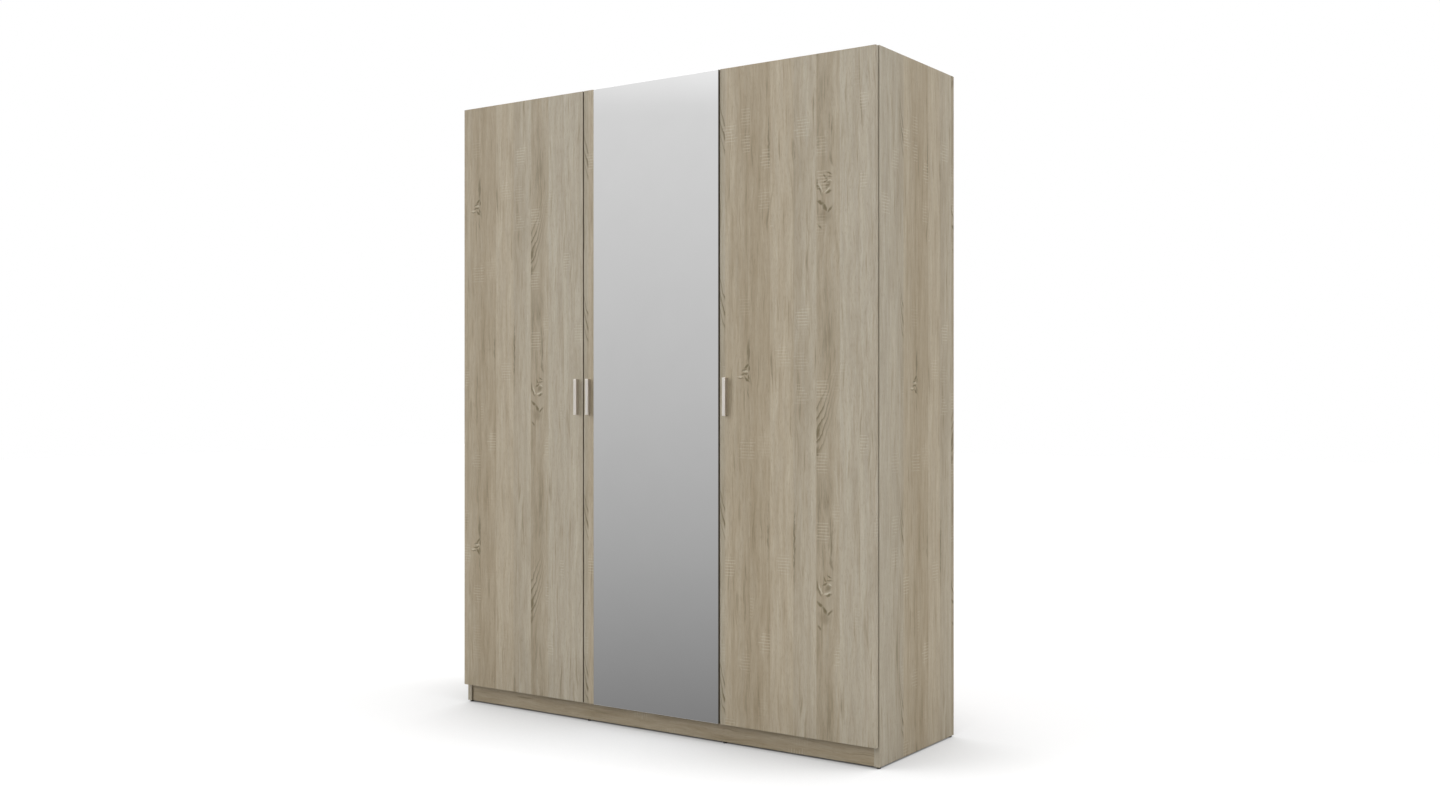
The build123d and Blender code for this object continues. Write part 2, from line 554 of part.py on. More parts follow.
# Bar handle on its door face: a solid bar that narrows behind its front lip, where fingertips hold it
half_lip = HANDLE_WIDTH / 2
half_foot = HANDLE_FOOT_WIDTH / 2
y_lip = HANDLE_LIP - HANDLE_PROJECTION
handle_outline = Polyline(
    (-half_foot, 0),
    (-half_lip, y_lip),
    (-half_lip, -HANDLE_PROJECTION),
    (half_lip, -HANDLE_PROJECTION),
    (half_lip, y_lip),
    (half_foot, 0),
    close=True,
)
handle_bar = extrude(make_face(handle_outline), HANDLE_LENGTH / 2, both=True)
handle = fillet(handle_bar.edges().group_by(Axis.Y)[0], HANDLE_EASE)
handle_screw_spots = [Pos(0, BOARD, half) for half in (-HANDLE_HOLES / 2, HANDLE_HOLES / 2)]
handle_screw = ALONG_Y * screw(HANDLE_SCREW, BOARD + HANDLE_SCREW_REACH)
handle_screws = copies(handle_screw, handle_screw_spots)
handle -= handle_screws
handle_screw_hole = ALONG_Y * through_hole(HANDLE_SCREW, BOARD + PAST)

for door, (edge, way, width, face) in DOORS.items():
    free_edge = edge + way * width
    x_limits = (min(edge, free_edge), max(edge, free_edge))
    panel = board(x_limits, (Y_DOOR_FRONT, Y_DOOR_BACK), (DOOR_BOTTOM, DOOR_TOP), DOOR_EASE)
    handle_place = Pos(free_edge - way * HANDLE_FROM_EDGE, Y_DOOR_FRONT, DOOR_MIDDLE)
    parts[door + "_handle"] = handle_place * handle
    parts[door + "_handle_screws"] = Compound(copies(Compound(handle_screws), [handle_place]))
    panel -= [handle_place * spot * handle_screw_hole for spot in handle_screw_spots]

    turn = Rot(0, 0, 0) if way > 0 else Rot(0, 180, 0)
    hinge_places = [Pos(edge, Y_DOOR_BACK, level) * turn for level in HINGE_LEVELS]
    ear_screw = ALONG_Y * screw(HINGE_SCREW, CUP_SCREW_LENGTH)
    ear_halves = (-CUP_SCREW_HALF_SPACING, CUP_SCREW_HALF_SPACING)
    ear_spots = [Pos(CUP_EAR_FROM_EDGE, CUP_FLANGE, half) for half in ear_halves]
    cup_screws = [place * spot * ear_screw for place in hinge_places for spot in ear_spots]
    cup_bore = Pos(CUP_FROM_EDGE, 0, 0) * ALONG_Y * rod(CUP_BORE_RADIUS, -CUP_BORE_DEPTH, PAST)
    panel -= copies(cup_bore, hinge_places) + cup_screws
    parts[door + "_door_panel"] = panel

    plate_fixings = plate_screws(face)
    panel_screws = [place * fixing for place in hinge_places for fixing in plate_fixings]
    arm_screws = copies(arm_screw(face), hinge_places)
    parts[door + "_hinge_cups"] = Compound(copies(hinge_cup(), hinge_places))
    parts[door + "_hinge_pins"] = Compound(copies(hinge_pin, hinge_places))
    parts[door + "_cup_screws"] = Compound(cup_screws)
    parts[door + "_hinge_arms"] = Compound(copies(hinge_arm(face), hinge_places))
    parts[door + "_hinge_plates"] = Compound(copies(hinge_plate(face), hinge_places))
    parts[door + "_plate_screws"] = Compound(panel_screws + arm_screws)
    drillings += panel_screws

# Mirror glued to the middle door, leaving a strip of the door for its handle
mirror_x = (-X_SEAM + DOOR_SEAM / 2 + MIRROR_STRIP, X_SEAM - DOOR_SEAM / 2 - MIRROR_HINGE_INSET)
mirror_y = (Y_DOOR_FRONT - MIRROR_THICKNESS, Y_DOOR_FRONT)
mirror_z = (DOOR_BOTTOM + MIRROR_END_INSET, DOOR_TOP - MIRROR_END_INSET)
mirror_glass = between(mirror_x, mirror_y, mirror_z)
parts["mirror"] = chamfer(mirror_glass.edges().group_by(Axis.Y)[0], MIRROR_ARRIS)

# Every board of the carcass gets the holes that reach it
DRILLED = ("_side_panel", "_partition", "top_panel", "_back_panel", "_bottom_board", "_hat_shelf", "plinth")
for node in parts:
    if node.endswith(DRILLED):
        drill(node)

os.makedirs("parts", exist_ok=True)
for node, shape in parts.items():
    export_step(shape, f"parts/{node}.step")
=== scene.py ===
import math

import bmesh
import bpy
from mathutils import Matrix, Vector


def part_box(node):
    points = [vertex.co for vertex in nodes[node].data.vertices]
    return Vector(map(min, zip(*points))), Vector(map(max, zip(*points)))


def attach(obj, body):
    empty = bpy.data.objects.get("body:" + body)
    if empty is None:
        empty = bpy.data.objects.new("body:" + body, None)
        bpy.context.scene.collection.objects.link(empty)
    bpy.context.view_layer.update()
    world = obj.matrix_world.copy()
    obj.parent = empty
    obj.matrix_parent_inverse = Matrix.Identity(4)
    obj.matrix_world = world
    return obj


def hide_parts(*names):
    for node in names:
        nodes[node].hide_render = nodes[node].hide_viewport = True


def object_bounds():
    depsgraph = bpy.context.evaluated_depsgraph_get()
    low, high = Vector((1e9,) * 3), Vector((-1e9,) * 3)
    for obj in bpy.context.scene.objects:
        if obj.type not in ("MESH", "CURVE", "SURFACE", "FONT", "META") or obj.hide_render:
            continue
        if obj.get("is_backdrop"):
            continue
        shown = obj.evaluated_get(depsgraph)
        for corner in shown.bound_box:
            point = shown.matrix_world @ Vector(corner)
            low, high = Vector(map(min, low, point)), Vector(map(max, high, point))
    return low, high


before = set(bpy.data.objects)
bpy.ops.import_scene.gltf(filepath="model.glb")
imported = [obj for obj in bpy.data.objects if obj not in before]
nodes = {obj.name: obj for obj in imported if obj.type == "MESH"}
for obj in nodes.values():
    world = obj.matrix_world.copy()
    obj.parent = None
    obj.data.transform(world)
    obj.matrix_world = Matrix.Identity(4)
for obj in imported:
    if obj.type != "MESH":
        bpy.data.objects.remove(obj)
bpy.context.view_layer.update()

# Carcass boards: sides, partitions, top, bottoms, plinth and shelves of 16 mm chipboard. Both faces and the
# edges carry melamine paper with a rough-sawn oak print, pressed on so that its fibres stand up a little.
# The print shows staves about 70 mm wide, each with its own grain, and comes round again every 1083 mm.
PRINT_REPEAT = 1083.0
PRINT_LEFT = -135.0
# Staves from left to right: right edge in mm, tone at the left and right side in grey levels off the mean,
# and how far it goes from grey to tan
STAVES = (
    (-60, 5, 4, 0.05), (18, 4, -2, 0.2), (102, 3, -8, 0.9), (168, -7, -4, 1.0), (243, 5, 4, 0.85),
    (316, -2, 8, 0.4), (388, -7, 1, 0.6), (450, 9, 3, 0.2), (540, 8, 4, 0.15),
)
OAK_TAN = ("#8B7C62", "#B8AC97")
OAK_GREY = ("#877C67", "#B4AC9C")
OAK_GRAIN = "#6B6046"
OAK_PALE = "#C9C1AE"


def linear(hex_colour):
    """An sRGB hex colour as linear red, green, blue and alpha."""
    shares = [int(hex_colour[start:start + 2], 16) / 255 for start in (1, 3, 5)]
    return [s / 12.92 if s <= 0.04045 else ((s + 0.055) / 1.055) ** 2.4 for s in shares] + [1.0]


def feed(tree, node, inputs):
    """Fills a node's inputs: a value is written in, a node or one of its sockets is linked."""
    for name, value in inputs.items():
        if isinstance(value, bpy.types.Node):
            value = next(socket for socket in value.outputs if socket.enabled)
        if isinstance(value, bpy.types.NodeSocket):
            tree.links.new(value, node.inputs[name])
        else:
            node.inputs[name].default_value = value


def add(tree, kind, inputs=None, stops=(), **settings):
    """Adds a node with its settings, the stops of its ramp and what feeds it. Inputs whose names repeat go by
    number, such as the terms of a sum, or the two colours of a mix, which are 6 and 7."""
    node = tree.nodes.new(kind)
    for name, value in settings.items():
        setattr(node, name, value)
    if stops:
        ramp = node.color_ramp.elements
        for position, colour in stops[1:-1]:
            ramp.new(position).color = colour
        for end in (0, -1):
            ramp[end].position, ramp[end].color = stops[end]
    feed(tree, node, inputs or {})
    return node


oak_print = bpy.data.node_groups.new("oak_print", "ShaderNodeTree")
oak_print.interface.new_socket("Place", in_out="INPUT", socket_type="NodeSocketVector")
oak_print.interface.new_socket("Colour", in_out="OUTPUT", socket_type="NodeSocketColor")
oak_print.interface.new_socket("Roughness", in_out="OUTPUT", socket_type="NodeSocketFloat")
oak_print.interface.new_socket("Relief", in_out="OUTPUT", socket_type="NodeSocketFloat")
place = add(oak_print, "NodeGroupInput")
axes = add(oak_print, "ShaderNodeSeparateXYZ", {0: place})
across = axes.outputs["X"]
along = add(oak_print, "ShaderNodeMath", {0: axes.outputs["Y"], 1: PRINT_REPEAT, 2: 0.0}, operation="WRAP")

# Each stave shifts the noise by its number, so that no streak runs on into the next one
STAVE_SHIFT = 7.3
stave = 0.0
for right, *_ in STAVES[:-1]:
    past = add(oak_print, "ShaderNodeMath", {0: across, 1: right}, operation="GREATER_THAN")
    stave = add(oak_print, "ShaderNodeMath", {0: stave, 1: past}, operation="ADD")
depth = add(oak_print, "ShaderNodeMath", {0: stave, 1: STAVE_SHIFT}, operation="MULTIPLY")

# Fibres sway a little from side to side as they run up a stave
SWAY_SIZE = (45.0, 170.0)
FIBRE_SWAY = 24.0
straight = add(oak_print, "ShaderNodeCombineXYZ", {0: across, 1: axes.outputs["Y"], 2: depth})
sway_scale = (1 / SWAY_SIZE[0], 1 / SWAY_SIZE[1], 1.0)
sway_place = add(oak_print, "ShaderNodeMapping", {"Vector": straight, "Scale": sway_scale})
sway = add(oak_print, "ShaderNodeTexNoise", {"Vector": sway_place, "Scale": 1.0})
swayed = add(oak_print, "ShaderNodeMath", {0: sway, 1: FIBRE_SWAY, 2: across}, operation="MULTIPLY_ADD")
fibre_place = add(oak_print, "ShaderNodeCombineXYZ", {0: swayed, 1: axes.outputs["Y"], 2: depth})

# Noise drawn out along the board, each with its width and length in mm
GRAIN = {
    "band": (19.0, 260.0), "fibre": (6.0, 90.0), "hair": (2.2, 36.0), "streak": (7.0, 150.0),
    "waver": (26.0, 50.0), "curl": (13.0, 18.0), "ragged": (60.0, 5.0), "pore": (1.6, 15.0),
}
grain = {}
for name, (width, length) in GRAIN.items():
    size = (1 / width, 1 / length, 1.0)
    drawn = add(oak_print, "ShaderNodeMapping", {"Vector": fibre_place, "Scale": size})
    grain[name] = add(oak_print, "ShaderNodeTexNoise", {"Vector": drawn, "Scale": 1.0})

# The staves and three sizes of streak make one tone, so many grey levels from deep to pale. A stave's own
# tone starts and ends a little inside its edges, which keeps the joint to the next one sharp.
GREY_LEVELS = 41.0
STAVE_INSIDE = 1.0
TAN_DRIFT = 1.2
STREAKS = {"band": 0.7, "fibre": 0.55, "hair": 0.4}
span = STAVES[-1][0] - PRINT_LEFT
tone_stops = []
tan_stops = []
left = PRINT_LEFT
for right, *levels, tan in STAVES:
    for at, level in zip((left + STAVE_INSIDE, right - STAVE_INSIDE), levels):
        tone_stops.append(((at - PRINT_LEFT) / span, [0.5 + level / GREY_LEVELS] * 3 + [1.0]))
        tan_stops.append(((at - PRINT_LEFT) / span, [tan] * 3 + [1.0]))
    left = right
limits = {"Value": across, "From Min": PRINT_LEFT, "From Max": STAVES[-1][0]}
share = add(oak_print, "ShaderNodeMapRange", limits)
tone = add(oak_print, "ShaderNodeValToRGB", {0: share}, tone_stops)
tan = add(oak_print, "ShaderNodeValToRGB", {0: share}, tan_stops)
tan = add(oak_print, "ShaderNodeMath", {0: grain["streak"], 1: TAN_DRIFT, 2: tan}, operation="MULTIPLY_ADD")
tan = add(oak_print, "ShaderNodeMath", {0: tan, 1: TAN_DRIFT / 2}, operation="SUBTRACT")
for name, amount in STREAKS.items():
    tone = add(oak_print, "ShaderNodeMath", {0: grain[name], 1: amount, 2: tone}, operation="MULTIPLY_ADD")
tone = add(oak_print, "ShaderNodeMath", {0: tone, 1: sum(STREAKS.values()) / 2}, operation="SUBTRACT")
hues = []
for deep, pale in (OAK_GREY, OAK_TAN):
    oak_tones = {0: tone, 6: linear(deep), 7: linear(pale)}
    hues.append(add(oak_print, "ShaderNodeMix", oak_tones, data_type="RGBA"))
colour = add(oak_print, "ShaderNodeMix", {0: tan, 6: hues[0], 7: hues[1]}, data_type="RGBA")

# Dark grain: long streaks where the noise is high, then growth rings that rise and bow away from a stave's
# edge. A ring turns dark over its late wood, and is at its full strength for a share of its reach.
SMOOTH = {"interpolation_type": "SMOOTHSTEP"}
STREAK_NOISE = (0.58, 0.78)
STREAK_DARKNESS = 0.55
FIBRE_NOISE = (0.42, 0.62)
RING_WAVER = 44.0
RING_LATE_WOOD = 0.42
RING_FULL = 0.3
dark = {"Value": grain["streak"], "From Min": STREAK_NOISE[0], "From Max": STREAK_NOISE[1]}
dark = add(oak_print, "ShaderNodeMapRange", dark | {"To Max": STREAK_DARKNESS}, **SMOOTH)
fibres = {"Value": grain["fibre"], "From Min": FIBRE_NOISE[0], "From Max": FIBRE_NOISE[1]}
fibres = add(oak_print, "ShaderNodeMapRange", fibres, **SMOOTH)
# Rings: stave edge, side they lie on, middle, reach along, width, rise at the edge, bow per mm, spacing
# and strength
RINGS = (
    (316, 1, 620, 110, 80, 0.9, 0.03, 32, 0.95),
    (18, -1, 355, 75, 40, 2.2, 0.06, 40, 1.0),
    (18, -1, 945, 85, 40, 2.2, 0.06, 40, 1.0),
)
for edge, side, middle, reach, width, rise, bow, spacing, strength in RINGS:
    into = add(oak_print, "ShaderNodeMath", {0: across, 1: edge}, operation="SUBTRACT")
    into = add(oak_print, "ShaderNodeMath", {0: into, 1: side}, operation="MULTIPLY")
    slope = add(oak_print, "ShaderNodeMath", {0: into, 1: bow, 2: rise}, operation="MULTIPLY_ADD")
    risen = add(oak_print, "ShaderNodeMath", {0: into, 1: slope}, operation="MULTIPLY")
    level = add(oak_print, "ShaderNodeMath", {0: along, 1: risen}, operation="SUBTRACT")
    waved = {0: grain["waver"], 1: RING_WAVER, 2: level}
    level = add(oak_print, "ShaderNodeMath", waved, operation="MULTIPLY_ADD")
    level = add(oak_print, "ShaderNodeMath", {0: level, 1: middle + RING_WAVER / 2}, operation="SUBTRACT")
    turns = add(oak_print, "ShaderNodeMath", {0: level, 1: spacing}, operation="DIVIDE")
    late = add(oak_print, "ShaderNodeMath", {0: turns}, operation="FRACT")
    ringed = {"Value": late, "From Min": RING_LATE_WOOD, "To Max": strength}
    ringed = add(oak_print, "ShaderNodeMapRange", ringed, **SMOOTH)
    far = add(oak_print, "ShaderNodeMath", {0: level}, operation="ABSOLUTE")
    within = {"Value": far, "From Min": reach, "From Max": RING_FULL * reach}
    for limit in (
        add(oak_print, "ShaderNodeMath", {0: into, 1: 0.0}, operation="GREATER_THAN"),
        add(oak_print, "ShaderNodeMapRange", {"Value": into, "From Min": width, "From Max": 0.0}, **SMOOTH),
        add(oak_print, "ShaderNodeMapRange", within, **SMOOTH),
    ):
        ringed = add(oak_print, "ShaderNodeMath", {0: ringed, 1: limit}, operation="MULTIPLY")
    dark = add(oak_print, "ShaderNodeMath", {0: dark, 1: ringed}, operation="MAXIMUM")

# Saw marks: short pale lines across the grain, in small groups with ragged ends. The lines are the crests of
# a wave, and a group shows around the middle of the rarer cells.
SAW_PITCH = 8.5
SAW_CREST = 0.3
SAW_PALENESS = 0.36
SAW_CELL = (60.0, 95.0)
SAW_REACH = (0.36, 0.2)
SAW_RARITY = 0.76
SAW_RAGGED = 50.0
saw_turn = add(oak_print, "ShaderNodeMath", {0: along, 1: math.tau / SAW_PITCH}, operation="MULTIPLY")
saw_wave = add(oak_print, "ShaderNodeMath", {0: saw_turn}, operation="SINE")
ragged = {0: grain["ragged"], 1: SAW_RAGGED, 2: across}
ragged = add(oak_print, "ShaderNodeMath", ragged, operation="MULTIPLY_ADD")
saw_place = add(oak_print, "ShaderNodeCombineXYZ", {0: ragged, 1: axes.outputs["Y"], 2: depth})
saw_scale = (1 / SAW_CELL[0], 1 / SAW_CELL[1], 1.0)
saw_place = add(oak_print, "ShaderNodeMapping", {"Vector": saw_place, "Scale": saw_scale})
saw_cells = add(oak_print, "ShaderNodeTexVoronoi", {"Vector": saw_place, "Scale": 1.0}, distance="CHEBYCHEV")
saw_pick = add(oak_print, "ShaderNodeSeparateColor", {0: saw_cells.outputs["Color"]})
pale = {"Value": saw_wave, "From Min": SAW_CREST, "To Max": SAW_PALENESS}
pale = add(oak_print, "ShaderNodeMapRange", pale, **SMOOTH)
for limit in (
    {"Value": saw_cells.outputs["Distance"], "From Min": SAW_REACH[0], "From Max": SAW_REACH[1]},
    {"Value": saw_pick.outputs["Red"], "From Min": SAW_RARITY},
):
    limit = add(oak_print, "ShaderNodeMapRange", limit, **SMOOTH)
    pale = add(oak_print, "ShaderNodeMath", {0: pale, 1: limit}, operation="MULTIPLY")

# Knots and curls, drawn stroke by stroke: tone, what breaks it up, place across and along, half width,
# half length, turn in degrees, strength, and the stave that it stays in
KNOTS = (
    ("dark", 1.0, 328, 148, 7, 17, 62, 1.0, 6),
    ("dark", 1.0, 342, 132, 7, 18, 29, 1.0, 6),
    ("dark", 1.0, 358, 128, 6, 18, -39, 0.9, 6),
    ("dark", 1.0, 342, 112, 26, 24, 0, 0.4, 6),
    ("dark", 1.0, 326, 84, 5, 12, 40, 0.8, 6),
    ("dark", 1.0, 325, 184, 4, 25, 26, 0.9, 6),
    ("pale", 1.0, 330, 188, 3, 24, 24, 0.5, 6),
    ("pale", 1.0, 350, 180, 3, 18, -58, 0.55, 6),
    ("dark", 1.0, 354, 175, 5, 14, -65, 0.95, 6),
    ("dark", 1.0, 352, 194, 9, 15, -40, 0.7, 6),
    ("dark", 1.0, 344, 203, 4, 13, -62, 0.9, 6),
    ("pale", 1.0, 358, 204, 3, 10, 80, 0.5, 6),
    ("dark", 1.0, 343, 217, 4, 15, 32, 0.85, 6),
    ("dark", 1.0, 356, 215, 4, 15, -80, 0.75, 6),
    ("dark", 1.0, 356, 226, 4, 13, 70, 0.9, 6),
    ("dark", 1.0, 362, 262, 7, 28, 14, 0.6, 6),
    ("dark", 1.0, 319, 196, 5, 22, 6, 0.8, 6),
    ("dark", fibres, 338, 290, 7, 75, 0, 0.6, 6),
    ("dark", fibres, 360, 330, 11, 110, 0, 0.8, 6),
    ("dark", fibres, 324, 370, 8, 120, 0, 0.6, 6),
    ("dark", 1.0, 321, 612, 9, 28, -14, 0.95, 6),
    ("dark", 1.0, 320, 560, 7, 22, -8, 0.7, 6),
    ("dark", fibres, 345, 450, 34, 85, 0, 0.5, 6),
    ("dark", fibres, 350, 900, 32, 180, 0, 0.5, 6),
    ("dark", 1.0, 97, 832, 9, 58, 0, 0.75, 2),
    ("dark", 1.0, 90, 793, 5, 17, -48, 1.0, 2),
    ("dark", 1.0, 83, 783, 4, 14, -70, 0.85, 2),
    ("pale", 1.0, 87, 779, 3, 14, 82, 0.45, 2),
    ("dark", 1.0, 84, 772, 4, 20, -84, 0.95, 2),
    ("pale", 1.0, 68, 765, 3, 15, 88, 0.45, 2),
    ("dark", 1.0, 71, 760, 3, 17, 88, 0.75, 2),
    ("dark", 1.0, 91, 757, 6, 18, 38, 1.0, 2),
    ("dark", 1.0, 98, 762, 5, 13, 0, 0.9, 2),
    ("dark", 1.0, 98, 787, 4, 17, 0, 0.9, 2),
    ("dark", 1.0, 95, 722, 3, 30, 0, 0.6, 2),
    ("dark", fibres, 246, 305, 6, 170, 0, 0.9, 5),
    ("dark", fibres, 164, 330, 7, 130, 0, 0.7, 3),
)
# How far the strokes curl, their depth, which never ends them, and the inner share that has full strength
KNOT_CURL = 12.0
KNOT_DEPTH = 1000.0
KNOT_CORE = 0.2
HALF_STAVE = 0.5
flat = add(oak_print, "ShaderNodeCombineXYZ", {0: across, 1: along})
curled = {0: grain["curl"].outputs["Color"], 1: [KNOT_CURL] * 3, 2: flat}
knot_place = add(oak_print, "ShaderNodeVectorMath", curled, operation="MULTIPLY_ADD")
marks = {"dark": dark, "pale": pale}
for kind, broken, knot_across, knot_along, half_width, half_length, turn, strength, home in KNOTS:
    spot = add(oak_print, "ShaderNodeMapping", {
        "Vector": knot_place,
        "Location": (knot_across + KNOT_CURL / 2, knot_along + KNOT_CURL / 2, KNOT_CURL / 2),
        "Rotation": (0.0, 0.0, math.radians(turn)),
        "Scale": (half_width, half_length, KNOT_DEPTH),
    }, vector_type="TEXTURE")
    far = add(oak_print, "ShaderNodeVectorMath", {0: spot}, operation="LENGTH")
    marked = {"Value": far.outputs["Value"], "From Min": 1.0, "From Max": KNOT_CORE, "To Max": strength}
    marked = add(oak_print, "ShaderNodeMapRange", marked, **SMOOTH)
    kept = add(oak_print, "ShaderNodeMath", {0: stave, 1: home, 2: HALF_STAVE}, operation="COMPARE")
    for limit in (kept, broken):
        marked = add(oak_print, "ShaderNodeMath", {0: marked, 1: limit}, operation="MULTIPLY")
    marks[kind] = add(oak_print, "ShaderNodeMath", {0: marks[kind], 1: marked}, operation="MAXIMUM")
for kind, shade in (("dark", OAK_GRAIN), ("pale", OAK_PALE)):
    colour = add(oak_print, "ShaderNodeMix", {0: marks[kind], 6: colour, 7: linear(shade)}, data_type="RGBA")

# Pores of the pressed paper: short dashes that also set the relief, drawn coarser than life so that they show
PORE_NOISE = (0.52, 0.7)
PORE_SHADE = 0.22
OAK_ROUGHNESS = (0.46, 0.6)
pores = {"Value": grain["pore"], "From Min": PORE_NOISE[0], "From Max": PORE_NOISE[1]}
pores = add(oak_print, "ShaderNodeMapRange", pores, **SMOOTH)
shaded = add(oak_print, "ShaderNodeMath", {0: pores, 1: PORE_SHADE}, operation="MULTIPLY")
colour = add(oak_print, "ShaderNodeMix", {0: shaded, 6: colour, 7: linear(OAK_GRAIN)}, data_type="RGBA")
rough = {"Value": grain["fibre"], "To Min": OAK_ROUGHNESS[0], "To Max": OAK_ROUGHNESS[1]}
rough = add(oak_print, "ShaderNodeMapRange", rough)
relief = add(oak_print, "ShaderNodeMath", {0: grain["hair"], 1: pores}, operation="SUBTRACT")
add(oak_print, "NodeGroupOutput", {"Colour": colour, "Roughness": rough, "Relief": relief})

# The print on upright and on level boards: the way across it and the way along it, in mm for each metre
MM = 1000.0
UPRIGHT = (Vector((MM, MM, 0)), Vector((0, 0, MM)))
LEVEL = (Vector((0, MM, MM)), Vector((MM, 0, 0)))
OAK_RELIEF = 0.00012
OAK_RELIEF_STRENGTH = 0.5
OAK_SPECULAR = 0.35
# Painted shade on door edges: a browner band where the doors meet and along the back of the outer edges,
# standing in for the shade in those gaps. Its colour, how much of it is mixed in, and the thin skin it lies
# in
SEAM_SHADE_BROWN = "#43361F"
SEAM_SHADE_SHARE = 0.6
SEAM_SHADE_SKIN = 0.0001


def dress(material, *names):
    """Gives CAD nodes a material."""
    for name in names:
        for slot in nodes[name].material_slots:
            slot.material = material


def surface(name):
    """A new material, its node tree and its shader."""
    material = bpy.data.materials.new(name)
    material.use_nodes = True
    return material, material.node_tree, material.node_tree.nodes["Principled BSDF"]


def oak_board(name, grain_way, start, shade_bands=()):
    """Cuts a board from the print, starting so many mm across and along it at the board's lowest corner.
    Painted shade: a browner band covers its low (0) or high (1) upright edge for a given width from the back,
    standing in for the shade in the gap beside that edge."""
    material, tree, shader = surface("oak_melamine_" + name)
    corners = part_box(name)
    corner = Vector(corners[0])
    spot = add(tree, "ShaderNodeTexCoord").outputs["Object"]
    ways = []
    for way, begin in zip(grain_way, start):
        far = add(tree, "ShaderNodeVectorMath", {0: spot, 1: way}, operation="DOT_PRODUCT")
        ways.append(add(tree, "ShaderNodeMath", {0: far, 1: begin - way.dot(corner)}, operation="ADD"))
    printed = add(tree, "ShaderNodeCombineXYZ", {0: ways[0], 1: ways[1]})
    paper = add(tree, "ShaderNodeGroup", {0: printed}, node_tree=oak_print)
    raised = {"Height": paper.outputs["Relief"], "Distance": OAK_RELIEF, "Strength": OAK_RELIEF_STRENGTH}
    colour = paper.outputs["Colour"]
    spots = add(tree, "ShaderNodeSeparateXYZ", {0: spot})
    # Painted shade: each band darkens the edge face that lines a gap
    for end, width in shade_bands:
        band = SEAM_SHADE_SHARE
        for axis, middle, half in (("X", corners[end][0], SEAM_SHADE_SKIN), ("Y", corners[1][1], width)):
            within = {0: spots.outputs[axis], 1: middle, 2: half}
            within = add(tree, "ShaderNodeMath", within, operation="COMPARE")
            band = add(tree, "ShaderNodeMath", {0: within, 1: band}, operation="MULTIPLY")
        colour = add(tree, "ShaderNodeMix", {0: band, 6: colour, 7: linear(SEAM_SHADE_BROWN)}, data_type="RGBA")
    feed(tree, shader, {
        "Base Color": colour,
        "Roughness": paper.outputs["Roughness"],
        "Normal": add(tree, "ShaderNodeBump", raised),
        "Specular IOR Level": OAK_SPECULAR,
    })
    dress(material, name)


oak_board("right_side_panel", UPRIGHT, (-135, 846))
oak_board("left_side_panel", UPRIGHT, (-100, 300))
oak_board("left_partition", UPRIGHT, (-20, 520))
oak_board("right_partition", UPRIGHT, (30, 90))
oak_board("top_panel", LEVEL, (-90, 210))
oak_board("plinth", LEVEL, (103, 420))
BAYS = ("left", "middle", "right")
# Level boards are cut from the print one after another, each starting further across and along it
LEVEL_START = -110
LEVEL_STEP = (23, 310)
level_boards = [bay + "_bottom_board" for bay in BAYS] + ["left_hat_shelf", "middle_hat_shelf"]
level_boards += [f"right_shelf_{count}" for count in range(1, 5)]
for count, name in enumerate(level_boards):
    oak_board(name, LEVEL, (LEVEL_START + LEVEL_STEP[0] * count, LEVEL_STEP[1] * count))

# Board joints: cam locks cast in zinc, turned on the heads of steel bolts, and long screws down through the
# top. Cast zinc has a dull, slightly grainy skin, and the plated steel shines softly with cloudy patches.
# Both patterns are drawn coarser than life so that they show.
METAL = {"Metallic": 1.0}
CAST_RELIEF = 0.00005
RELIEF_STRENGTH = 0.4


def mottled(name, tones, roughness, patch, detail, relief=0.0, even=None):
    """A finish that drifts between two tones and two roughnesses over patches of a real size in metres, which
    may be drawn out along an axis. What is even all over goes straight to the shader."""
    material, tree, shader = surface(name)
    spot = add(tree, "ShaderNodeTexCoord").outputs["Object"]
    drawn = add(tree, "ShaderNodeMapping", {"Vector": spot, "Scale": [1 / size for size in patch]})
    cloud = add(tree, "ShaderNodeTexNoise", {"Vector": drawn, "Scale": 1.0, "Detail": detail})
    tinted = {0: cloud, 6: linear(tones[0]), 7: linear(tones[1])}
    worn = {"Value": cloud, "To Min": roughness[0], "To Max": roughness[1]}
    feed(tree, shader, {
        "Base Color": add(tree, "ShaderNodeMix", tinted, data_type="RGBA"),
        "Roughness": add(tree, "ShaderNodeMapRange", worn),
    })
    if relief:
        raised = {"Height": cloud, "Distance": relief, "Strength": RELIEF_STRENGTH}
        feed(tree, shader, {"Normal": add(tree, "ShaderNodeBump", raised)})
    feed(tree, shader, even or {})
    return material


cast_zinc = mottled(
    "cast_zinc", tones=("#A2A4A6", "#B9BABA"), roughness=(0.35, 0.55), patch=[0.004] * 3, detail=4.0,
    relief=CAST_RELIEF, even=METAL,
)
zinc_steel = mottled(
    "zinc_plated_steel", tones=("#A9ADB2", "#C6C9C8"), roughness=(0.28, 0.45), patch=[0.005] * 3, detail=4.0,
    even=METAL,
)
dress(cast_zinc, "cam_locks")
dress(zinc_steel, "cam_bolts", "top_screws")

# Dowels: turned beech pins in the ends of the level boards, which keep them from twisting. Beech shows
# fine darker flecks along the pin, drawn coarser than life so that they show.
beech = mottled(
    "beech", tones=("#B98F62", "#DDBD92"), roughness=(0.55, 0.7), patch=(0.012, 0.002, 0.002), detail=2.0,
)
dress(beech, "wood_dowels")

# Floor glides: moulded discs of black polyethylene, nailed under the ends of the uprights and under the
# plinth. The plastic is dull and finely scuffed. The scuffs are drawn coarser than life so that they show.
polyethylene = mottled(
    "black_polyethylene", tones=("#161616", "#2B2A29"), roughness=(0.4, 0.6), patch=[0.004] * 3, detail=3.0,
)
dress(polyethylene, "floor_glides")

